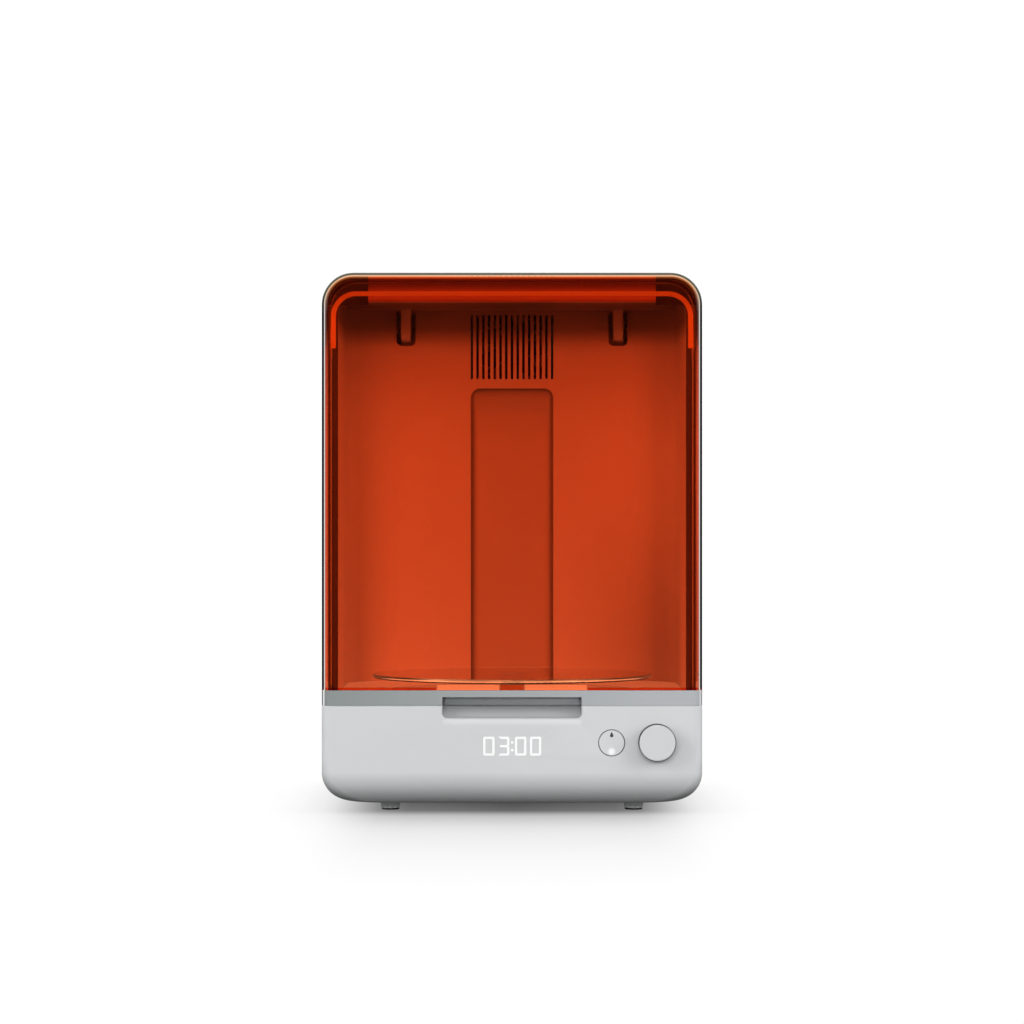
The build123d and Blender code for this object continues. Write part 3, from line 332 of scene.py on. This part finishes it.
# painted light: the catch rail glows, though it holds no lamp
M["rail"] = lit("catch_rail", (0.74, 1, 1, 1), 0.52, base=(0.72, 0.86, 0.84, 1))
M["glass"] = clear("clear_glass", (0.93, 0.955, 0.94, 1), rough=0.0, ior=1.5, wave=0.0)
M["digits"] = lit("digit_light", (1, 1, 1, 1), 0.88, base=(0.10, 0.10, 0.10, 1))
M["dot"] = lit("button_dot_light", (1, 1, 1, 1), 0.85, base=(0.10, 0.10, 0.10, 1))
M["grip"] = moulded("grip_plastic", lin(72, 74, 77), rough=0.5, grain=0.3, vary=0.03)
M["seal"] = moulded("seal_rubber", lin(84, 80, 78), rough=0.6, grain=0.5, vary=0.06)
M["ceiling"] = moulded("ceiling_plastic", lin(84, 80, 80), rough=0.5, grain=0.4, vary=0.04)
M["print"] = moulded("dark_print", lin(70, 72, 76), rough=0.5, grain=0.1, vary=0.02)
M["black"] = moulded("black_plastic", lin(30, 30, 32), rough=0.42, grain=0.4, vary=0.08, wear=0.3)
M["rubber"] = moulded("black_rubber", lin(24, 24, 25), rough=0.75, grain=0.6, vary=0.1)
M["zinc"] = metal("zinc_steel", (0.68, 0.69, 0.70, 1), 0.32)
M["spring"] = metal("spring_steel", (0.50, 0.50, 0.52, 1), 0.30)
M["plated"] = metal("plated_metal", (0.74, 0.74, 0.75, 1), 0.24)
M["alu"] = metal("bare_aluminium", (0.80, 0.81, 0.82, 1), 0.36, brushed=(1, 1, 0.04))
M["bronze"] = metal("bearing_bronze", (0.62, 0.42, 0.22, 1), 0.4)
M["nylon"] = moulded("white_nylon", lin(226, 225, 216), rough=0.4, grain=0.2, vary=0.02)
M["green"] = board("board_green", lin(28, 92, 52))
M["white_board"] = board("board_white", lin(222, 224, 222))

# painted highlight on the cover's front rim: a pale line of emission just inside the outline
def rim_depth(t):
    """how far inside the cover's front outline a point lies"""
    qx = t.math("MAXIMUM", t.math("SUBTRACT", t.math("ABSOLUTE", t.axis("X")), 0.135 - LID_R), 0.0)
    qz = t.math("MAXIMUM", t.math("SUBTRACT", t.axis("Z"), 0.3852 - LID_R), 0.0)
    return t.math("SUBTRACT", LID_R, t.math("SQRT", t.math("ADD", t.math("MULTIPLY", qx, qx), t.math("MULTIPLY", qz, qz))))


def near_front(t):
    return t.remap(t.math("SUBTRACT", t.axis("Y"), FRONT_Y), 0.0065, 0.005, smooth=True)


def painted_rim_light(t, p):
    d = rim_depth(t)
    flank = curve(t, d, [(0.0, 0.0), (0.0017, 0.0), (0.0019, 0.74), (0.0023, 0.70), (0.0026, 0.06), (0.0040, 0.0)])
    level = curve(t, d, [(0.0, 0.15), (0.0016, 0.06), (0.0020, 0.38), (0.0026, 0.46), (0.0036, 0.13), (0.0048, 0.0)])
    tint = t.mix_colour(t.remap(d, 0.0021, 0.0038), (1.0, 0.88, 0.60, 1), (1.0, 0.36, 0.07, 1))
    tint = t.mix_colour(t.remap(t.axis("Z"), 0.355, 0.376, smooth=True), (1.0, 0.97, 0.95, 1), tint)
    strength = t.math("MULTIPLY", near_front(t), RIM_PAINTED_LIGHT)
    part = t.remap(t.axis("Z"), 0.355, 0.376, smooth=True)
    crown = t.math("ADD", t.math("MULTIPLY", part, level), t.math("MULTIPLY", t.math("SUBTRACT", 1.0, part), flank))
    t.link(tint, p.inputs["Emission Color"])
    t.link(t.math("MULTIPLY", crown, strength), p.inputs["Emission Strength"])


tune(M["amber"], painted_rim_light)


def slot_mask(t, front, top):
    """one inside the finger slot, deeper than its front edge"""
    wide = t.remap(t.math("ABSOLUTE", t.axis("X")), 0.0496, 0.0494)
    deep = t.remap(t.math("SUBTRACT", t.axis("Y"), FRONT_Y), front, front + 0.0012)
    shallow = t.remap(t.math("SUBTRACT", t.axis("Y"), FRONT_Y), 0.0134, 0.0130)
    low = t.remap(t.axis("Z"), top, top - 0.0002)
    return t.math("MULTIPLY", t.math("MULTIPLY", wide, deep), t.math("MULTIPLY", shallow, low))


def darken(t, p, amount):
    old = source(p, "Base Color")
    t.link(t.mix_colour(amount, old, (0.015, 0.016, 0.017, 1)), p.inputs["Base Color"])


# painted light and shade on the satin strip: a painted reflection makes it paler towards one end,
# painted shade darkens it in the finger slot and at the slot's ends, and a painted highlight runs as a thin line along
# its polished vertical edges
def strip_painted_light_and_shade(t, p):
    # painted reflection: the base colour pales towards +X
    f = t.remap(t.axis("X"), -0.13, 0.10, 0.0, 1.0)
    t.link(t.mix_colour(f, lin(145, 151, 150), lin(182, 185, 188)), p.inputs["Base Color"])
    depth = curve(t, t.axis("Z"), [(0.0775, 0.55), (0.0788, 0.46), (0.0800, 0.38), (0.0825, 0.18), (0.0845, 0.0)])
    ends = t.remap(t.math("ABSOLUTE", t.axis("X")), 0.0464, 0.0476, 0.0, 0.62)
    darken(t, p, t.math("MULTIPLY", slot_mask(t, 0.0015, 0.0843), t.math("MAXIMUM", depth, ends)))
    d = t.math("SUBTRACT", 0.135, t.math("ABSOLUTE", t.axis("X")))
    # painted highlight: emission in a thin line along the vertical edges
    line = curve(t, d, [(0.0, 0.0), (0.0010, 0.0), (0.0013, 1.0), (0.0019, 1.0), (0.0022, 0.0), (0.0024, 0.0)])
    level = t.remap(t.axis("X"), -0.13, 0.13, 0.62, 0.30)
    t.link(t.math("MULTIPLY", t.math("MULTIPLY", line, near_front(t)), level), p.inputs["Emission Strength"])
    p.inputs["Emission Color"].default_value = (1, 1, 1, 1)


tune(M["strip"], strip_painted_light_and_shade)


# painted shade: the tray of the finger slot is darkened in its base colour, deepest at the top
def tray_painted_shade(t, p):
    shade = curve(t, t.axis("Z"), [(0.0670, 0.0), (0.0690, 0.08), (0.0700, 0.20), (0.0720, 0.36), (0.0740, 0.50),
                                   (0.0758, 0.58), (0.0770, 0.48), (0.0780, 0.44)])
    darken(t, p, t.math("MULTIPLY", slot_mask(t, 0.0012, 0.0790), shade))


tune(M["base"], tray_painted_shade)


# painted shade: the casing's under-edge is darkened in its base colour, clear of its outline at the front
def under_edge_painted_shade(t, p):
    front = t.remap(t.math("SUBTRACT", t.axis("Y"), FRONT_Y), 0.030, 0.022)
    f = curve(t, t.axis("Z"), [(0.0095, 0.10), (0.0110, 0.22), (0.0150, 0.24), (0.0210, 0.10), (0.0300, 0.0)])
    darken(t, p, t.math("MULTIPLY", f, front))


tune(M["base"], under_edge_painted_shade)


# painted light: a faint glow keeps the casing's front edge radius pale all round, and a painted highlight runs along
# the lip under the finger slot
def painted_edge_light(t, p):
    inside = t.math("SUBTRACT", 0.135, t.math("ABSOLUTE", t.axis("X")))
    side = curve(t, inside, [(0.0, 0.10), (0.0010, 0.085), (0.0030, 0.05), (0.0060, 0.0)])
    side = t.math("MULTIPLY", side, t.remap(t.axis("Z"), 0.030, 0.042, smooth=True))
    side = t.math("MULTIPLY", side, t.remap(t.math("SUBTRACT", t.axis("Y"), FRONT_Y), 0.0065, 0.003, smooth=True))
    lip = curve(t, t.axis("Z"), [(0.0640, 0.0), (0.0656, 0.05), (0.0672, 0.08), (0.0682, 0.03), (0.0686, 0.0)])
    lip = t.math("MULTIPLY", lip, t.remap(t.math("ABSOLUTE", t.axis("X")), 0.0500, 0.0480, smooth=True))
    lip = t.math("MULTIPLY", lip, t.remap(t.math("SUBTRACT", t.axis("Y"), FRONT_Y), 0.0012, 0.0004))
    t.link(t.math("ADD", side, lip), p.inputs["Emission Strength"])
    p.inputs["Emission Color"].default_value = (1, 1, 1, 1)


tune(M["base"], painted_edge_light)


# painted shade: the beam's base colour darkens along its top
def beam_painted_shade(t, p):
    f = t.remap(t.axis("Z"), 0.3715, 0.3815, 0.0, 1.0, smooth=True)
    old = source(p, "Base Color")
    t.link(t.mix_colour(f, old, (0.11, 0.04, 0.018, 1)), p.inputs["Base Color"])


tune(M["beam"], beam_painted_shade)


# painted shade: the bow is darkened along its top more than down its legs
def bow_painted_shade(t, p):
    f = t.remap(t.axis("Z"), 0.350, 0.368, 0.0, 0.30, smooth=True)
    darken(t, p, f)


tune(M["bow"], bow_painted_shade)


# painted light and shade on the chamber wall: a painted warm tint towards the top, painted shade under the cover's
# ceiling, and painted shade inside the edges of its slots
def wall_painted_light_and_shade(t, p):
    # painted warm light: the base colour turns warmer towards the top
    warm = t.remap(t.axis("Z"), 0.265, 0.340, smooth=True)
    t.link(t.mix_colour(t.math("MULTIPLY", warm, 0.22), source(p, "Base Color"), (0.80, 0.50, 0.38, 1)), p.inputs["Base Color"])
    f = curve(t, t.axis("Z"), [(0.336, 0.0), (0.343, 0.08), (0.350, 0.40), (0.357, 0.66), (0.364, 0.66), (0.372, 0.62)])
    darken(t, p, f)
    # painted shade: the chamber's rear corners are darkened, most of all low down on the right
    x, z = t.axis("X"), t.axis("Z")
    left = curve(t, x, [(-0.131, 0.07), (-0.1247, 0.22), (-0.1185, 0.28), (-0.111, 0.18), (-0.103, 0.07), (-0.096, 0.02), (-0.085, 0.0)])
    left = t.math("MULTIPLY", left, curve(t, z, [(0.100, 1.0), (0.184, 0.84), (0.262, 0.66), (0.301, 0.44)]))
    left = t.math("MULTIPLY", left, 1.2)
    right = curve(t, x, [(0.085, 0.0), (0.103, 0.03), (0.1115, 0.11), (0.1185, 0.10), (0.1247, 0.04), (0.131, 0.02)])
    low = curve(t, x, [(0.040, 0.0), (0.0686, 0.12), (0.080, 0.18), (0.092, 0.22), (0.102, 0.27), (0.1115, 0.30), (0.1185, 0.30), (0.1247, 0.28), (0.131, 0.20)])
    low = t.math("MULTIPLY", low, curve(t, z, [(0.080, 1.0), (0.114, 1.0), (0.145, 0.80), (0.184, 0.48), (0.223, 0.16), (0.262, 0.0)]))
    low = t.math("MULTIPLY", low, 1.22)
    across = t.math("ADD", left, t.math("ADD", right, low))
    across = t.math("MULTIPLY", across, t.remap(t.math("SUBTRACT", t.axis("Y"), FRONT_Y), 0.110, 0.200, smooth=True))
    darken(t, p, across)
    # painted shade: the slots' inner edges are darkened
    slots = t.math("MULTIPLY", t.remap(t.math("SUBTRACT", t.axis("Y"), FRONT_Y), 0.2352, 0.2356), t.remap(t.axis("Z"), 0.3135, 0.3145))
    darken(t, p, t.math("MULTIPLY", slots, 0.95))


tune(M["liner"], wall_painted_light_and_shade)


# painted shade: the rear light window is darkened along its frame and towards its top
def window_painted_shade(t, p):
    r = 0.0075
    qx = t.math("MAXIMUM", t.math("SUBTRACT", t.math("ABSOLUTE", t.axis("X")), 0.0321 - r), 0.0)
    qz = t.math("MAXIMUM", t.math("SUBTRACT", t.axis("Z"), 0.3116 - r), 0.0)
    d = t.math("SUBTRACT", r, t.math("SQRT", t.math("ADD", t.math("MULTIPLY", qx, qx), t.math("MULTIPLY", qz, qz))))
    side = curve(t, d, [(-0.001, 0.66), (0.0015, 0.62), (0.0030, 0.34), (0.0050, 0.10), (0.0080, 0.0)])
    top = curve(t, t.axis("Z"), [(0.262, 0.0), (0.290, 0.12), (0.304, 0.28), (0.3085, 0.46), (0.3116, 0.68)])
    darken(t, p, t.math("MAXIMUM", side, top))


# the ceiling is dark at its front lip; towards the back it is painted paler, a painted light that blends it into the
# wall's shade
def ceiling_lip_and_painted_light(t, p):
    y = t.math("SUBTRACT", t.axis("Y"), FRONT_Y)
    old = source(p, "Base Color")
    pale = t.mix_colour(t.remap(y, 0.17, 0.23, 0.0, 0.75, smooth=True), old, lin(138, 130, 128))
    t.link(t.mix_colour(t.remap(y, 0.0800, 0.0770, 0.0, 0.75), pale, lin(36, 35, 36)), p.inputs["Base Color"])


tune(M["ceiling"], ceiling_lip_and_painted_light)

M["window"] = moulded("opal_window", lin(224, 221, 216), rough=0.35, grain=0.15, vary=0.01)
tune(M["window"], window_painted_shade)


# painted light: a soft glow in the button round its lit dot; painted shade darkens the button's rim at its gap
def button_painted_glow_and_gap_shade(t, p):
    dx = t.math("SUBTRACT", t.axis("X"), 0.0706)
    dz = t.math("SUBTRACT", t.axis("Z"), 0.0456)
    r = t.math("SQRT", t.math("ADD", t.math("MULTIPLY", dx, dx), t.math("MULTIPLY", dz, dz)))
    up = t.math("SUBTRACT", t.axis("Z"), 0.0518)
    rim = t.math("SQRT", t.math("ADD", t.math("MULTIPLY", dx, dx), t.math("MULTIPLY", up, up)))
    darken(t, p, t.remap(rim, 0.00875, 0.00905, 0.0, 0.7))
    glow = t.math("POWER", t.remap(r, 0.0012, 0.0040, 1.0, 0.0), 2.0)
    t.link(t.math("MULTIPLY", glow, 0.35), p.inputs["Emission Strength"])
    p.inputs["Emission Color"].default_value = (1, 1, 1, 1)


tune(M["button"], button_painted_glow_and_gap_shade)


# painted light on the ground edge of the glass turntable: a painted highlight across its middle, painted dark at its
# sides
def glass_edge_painted_light(t, p):
    x = t.axis("X")
    y = t.math("SUBTRACT", t.axis("Y"), FRONT_Y + 0.120)
    r = t.math("SQRT", t.math("ADD", t.math("MULTIPLY", x, x), t.math("MULTIPLY", y, y)))
    edge = t.remap(r, 0.1024, 0.1034, smooth=True)
    up = t.remap(t.axis("Z"), 0.0930, 0.0938, smooth=True)
    across = t.math("ABSOLUTE", x)
    middle = t.remap(across, 0.078, 0.048, 0.12, 1.0, smooth=True)
    streak = t.remap(t.noise(45.0, 2.0, 0.5), 0.3, 0.7, 0.65, 1.15)
    glow = t.math("MULTIPLY", t.math("MULTIPLY", edge, up), t.math("MULTIPLY", middle, streak))
    t.link(t.math("MULTIPLY", glow, 0.9), p.inputs["Emission Strength"])
    p.inputs["Emission Color"].default_value = (0.80, 0.95, 1.0, 1)
    flank = t.math("MULTIPLY", t.remap(across, 0.086, 0.097, smooth=True), t.remap(r, 0.1018, 0.1028, smooth=True))
    t.link(t.mix_colour(flank, (0.93, 0.955, 0.94, 1), (0.012, 0.014, 0.014, 1)), p.inputs["Base Color"])


tune(M["glass"], glass_edge_painted_light)

FINISH = {
    "base_shell": "base", "rear_housing": "housing", "start_button": "button", "dial_knob": "knob",
    "rear_cover": "cover", "base_bottom_plate": "plate", "feet": "feet", "foot_soles": "rubber",
    "lid_handle": "strip", "lid_shell": "amber", "lid_bow": "bow", "hinge_beam": "beam",
    "hinge_arm_left": "arm", "hinge_arm_right": "arm", "chamber_floor": "floor",
    "chamber_liner": "liner", "floor_diffuser": "opal", "rear_light_panel": "window",
    "turntable_disc": "glass", "display_digits": "digits", "button_light": "dot",
    "button_icon": "print", "lid_latch_magnet": "magnet", "knob_grip": "grip",
    "chamber_seal": "seal", "lid_ceiling": "ceiling", "light_well": "chamber",
    "lid_inner_lip": "amber", "lid_catch_rail": "rail",
}
BY_SLOT = {
    "light_grey_plastic": "base", "mid_grey_plastic": "cover", "strip_grey_plastic": "strip",
    "black_plastic": "black", "black_rubber": "rubber", "zinc_steel": "zinc", "spring_steel": "spring",
    "plated_metal": "plated", "bare_aluminium": "alu", "bearing_bronze": "bronze", "white_nylon": "nylon",
    "board_green": "green", "board_white": "white_board", "lit_white": "digits", "dark_print": "print", "dark_grey_plastic": "grip",
    "white_chamber": "chamber", "opal_diffuser": "opal", "clear_glass": "glass", "arm_paint": "arm",
    "amber_acrylic": "amber", "bow_orange_plastic": "bow", "beam_red_plastic": "beam",
}
for name, node in N.items():
    key = FINISH.get(name)
    if key is None:
        key = BY_SLOT[node.material_slots[0].material.name.split(".")[0]]
    for s in node.material_slots:
        s.material = M[key]

# ------------------------------------------------------------- studio stage
def plane(name, x0, x1, y0, y1, z):
    me = bpy.data.meshes.new(name)
    me.from_pydata([(x0, y0, z), (x1, y0, z), (x1, y1, z), (x0, y1, z)], [], [(0, 1, 2, 3)])
    o = bpy.data.objects.new(name, me)
    scene.collection.objects.link(o)
    return o


# a white studio floor: a painted soft contact shadow for the camera, a grey bounce for
# everything else, black for mirror-like reflections
floor = plane("studio_floor", -1.1, 1.1, -1.6, 1.6, 0.0)
fm, t = new_material("studio_floor")
pos = t.object_coords()
sep = t.add("ShaderNodeSeparateXYZ")
t.link(pos, sep.inputs[0])
side = t.math("ABSOLUTE", sep.outputs[0])
sx = curve(t, side, [(0.0, 1.0), (0.075, 0.95), (0.094, 0.87), (0.108, 0.66), (0.119, 0.45), (0.1295, 0.27),
                     (0.138, 0.18), (0.155, 0.08), (0.17, 0.04), (0.20, 0.0)])
front = t.math("SUBTRACT", FRONT_Y, sep.outputs[1])
sy_front = curve(t, front, [(-0.10, 0.945), (-0.045, 0.89), (-0.028, 0.765), (-0.011, 0.58), (0.005, 0.48),
                            (0.036, 0.39), (0.067, 0.30), (0.097, 0.233), (0.14, 0.177), (0.182, 0.145),
                            (0.28, 0.08), (0.45, 0.025), (0.62, 0.0)])
back = t.math("SUBTRACT", sep.outputs[1], FRONT_Y + 0.29)
sy_back = curve(t, back, [(-0.10, 1.0), (-0.03, 0.82), (0.005, 0.5), (0.04, 0.33), (0.10, 0.16), (0.20, 0.05), (0.30, 0.0)])
shade = t.math("MULTIPLY", sx, t.math("MULTIPLY", sy_front, sy_back))
seen = t.add("ShaderNodeEmission")
seen.inputs["Color"].default_value = (1, 1, 1, 1)
t.link(t.math("SUBTRACT", 1.02, t.math("MULTIPLY", shade, 0.99)), seen.inputs["Strength"])
bounce = t.add("ShaderNodeBsdfDiffuse")
bounce.inputs["Color"].default_value = (FLOOR_BOUNCE, FLOOR_BOUNCE, FLOOR_BOUNCE, 1)
path = t.add("ShaderNodeLightPath")
dark = t.add("ShaderNodeEmission")
dark.inputs["Color"].default_value = (1, 1, 1, 1)
dark.inputs["Strength"].default_value = 0.02
shiny = t.math("MAXIMUM", path.outputs["Is Glossy Ray"], path.outputs["Is Transmission Ray"])
a = t.add("ShaderNodeMixShader")
t.link(shiny, a.inputs[0])
t.link(bounce.outputs[0], a.inputs[1])
t.link(dark.outputs[0], a.inputs[2])
b = t.add("ShaderNodeMixShader")
t.link(path.outputs["Is Camera Ray"], b.inputs[0])
t.link(a.outputs[0], b.inputs[1])
t.link(seen.outputs[0], b.inputs[2])
output(t, b.outputs[0])
floor.data.materials.append(fm)

world = bpy.data.worlds.new("studio")
scene.world = world
world.use_nodes = True
t = Tree(world.node_tree)
tc = t.add("ShaderNodeTexCoord")
sep = t.add("ShaderNodeSeparateXYZ")
t.link(tc.outputs["Generated"], sep.inputs[0])
X, Y, Z = sep.outputs
# what glossy and clear surfaces mirror: a dark room with a tall light strip on
# each side and a narrow box overhead
ax = t.math("ABSOLUTE", X)
strip = t.math("MULTIPLY", t.remap(ax, SIDE_X, SIDE_X + 0.03, smooth=True),
               t.math("MULTIPLY", t.remap(Y, SIDE_Y0, SIDE_Y0 + 0.06, smooth=True), t.remap(Y, SIDE_Y1, SIDE_Y1 - 0.06, smooth=True)))
topbox = t.math("MULTIPLY", t.remap(Z, TOP_Z, TOP_Z + 0.08, smooth=True),
                t.math("MULTIPLY", t.remap(Y, TOP_Y0, TOP_Y0 + 0.12, smooth=True), t.remap(Y, TOP_Y1, TOP_Y1 - 0.1, smooth=True)))
rear = t.math("MULTIPLY", t.remap(Y, 0.35, 0.75, smooth=True), t.remap(Z, 0.05, 0.5, smooth=True))
mirror = t.math("ADD", t.math("ADD", ROOM, t.math("MULTIPLY", strip, SIDE_L)), t.math("ADD", t.math("MULTIPLY", topbox, TOP_L), t.math("MULTIPLY", rear, REAR_L)))
# the soft light that falls on matt surfaces: low in front, where the boxes
# are, and a broad fill from behind
behind = t.remap(Y, 0.0, 0.8, 0.0, BEHIND, smooth=True)
soft = t.math("ADD", AMBIENT, behind)
path = t.add("ShaderNodeLightPath")
shiny = t.math("MAXIMUM", path.outputs["Is Glossy Ray"], path.outputs["Is Transmission Ray"])
strength = t.add("ShaderNodeMix", data_type="FLOAT")
t.link(shiny, strength.inputs[0])
t.link(soft, strength.inputs[2])
t.link(mirror, strength.inputs[3])
final = t.add("ShaderNodeMix", data_type="FLOAT")
t.link(path.outputs["Is Camera Ray"], final.inputs[0])
t.link(strength.outputs[0], final.inputs[2])
final.inputs[3].default_value = 1.05
bg = t.add("ShaderNodeBackground")
bg.inputs["Color"].default_value = (1, 1, 1, 1)
t.link(final.outputs[0], bg.inputs["Strength"])
out = t.add("ShaderNodeOutputWorld")
t.link(bg.outputs[0], out.inputs["Surface"])


def area(name, location, target, size, power, size_y=None, colour=(1, 1, 1), glossy=True):
    data = bpy.data.lights.new(name, "AREA")
    data.shape = "RECTANGLE"
    data.size, data.size_y = size, size_y or size
    data.energy = power
    data.color = colour
    o = bpy.data.objects.new(name, data)
    scene.collection.objects.link(o)
    o.location = location
    o.rotation_euler = (Vector(target) - Vector(location)).to_track_quat("-Z", "Y").to_euler()
    o.visible_camera = False
    o.visible_glossy = glossy
    o.visible_transmission = glossy
    return o


area("soft_front", (0.0, -2.45, 0.90), (0, 0, 0.20), 1.5, FRONT_BOX, 1.1, glossy=False)
area("soft_low", (-0.10, -2.50, 0.50), (0, 0, 0.22), 1.5, LOW_BOX, 0.35, glossy=False)
area("soft_left", (-1.6, -1.25, 0.80), (0, -0.1, 0.15), 1.0, KEY_LEFT, 1.0, glossy=False)
area("soft_right", (1.6, -1.35, 0.80), (0, -0.1, 0.15), 1.0, KEY_RIGHT, 1.0, glossy=False)

area("soft_rear", (0.95, 2.3, 1.05), (0, 0.12, 0.22), 1.4, REAR_KEY, 1.2, glossy=False)
